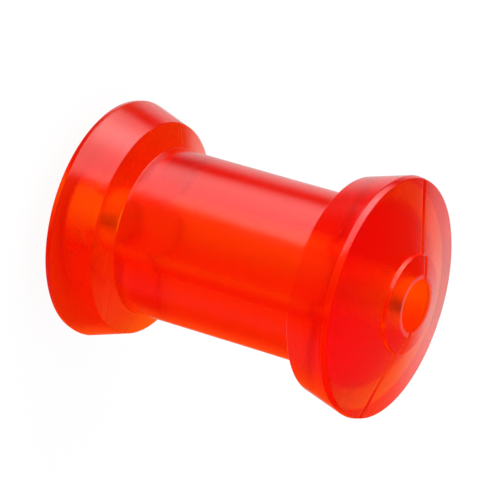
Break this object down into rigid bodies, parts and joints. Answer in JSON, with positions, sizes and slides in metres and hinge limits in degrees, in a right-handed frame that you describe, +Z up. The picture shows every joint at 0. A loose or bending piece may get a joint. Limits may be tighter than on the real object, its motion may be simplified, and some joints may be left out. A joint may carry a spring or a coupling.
{
  "type": "boat trailer roller",
  "caption": "Spool roller moulded in clear red polyurethane: a plain barrel between conical-rimmed flanges, bored through for a shaft, that carries and centres a boat's keel.",
  "frame": {"origin": "centre of the lower end land, on the bore's axis, so that the roller stands on its end", "axes": "+Z runs up along the bore, +X lies in the mould's parting plane"},
  "size_m": [0.0816, 0.0816, 0.127],
  "materials": {
    "polyurethane": "glossy clear red polyurethane, lightly translucent"
  },
  "bodies": {
    "root": {"roller": "polyurethane"}
  },
  "joints": []
}
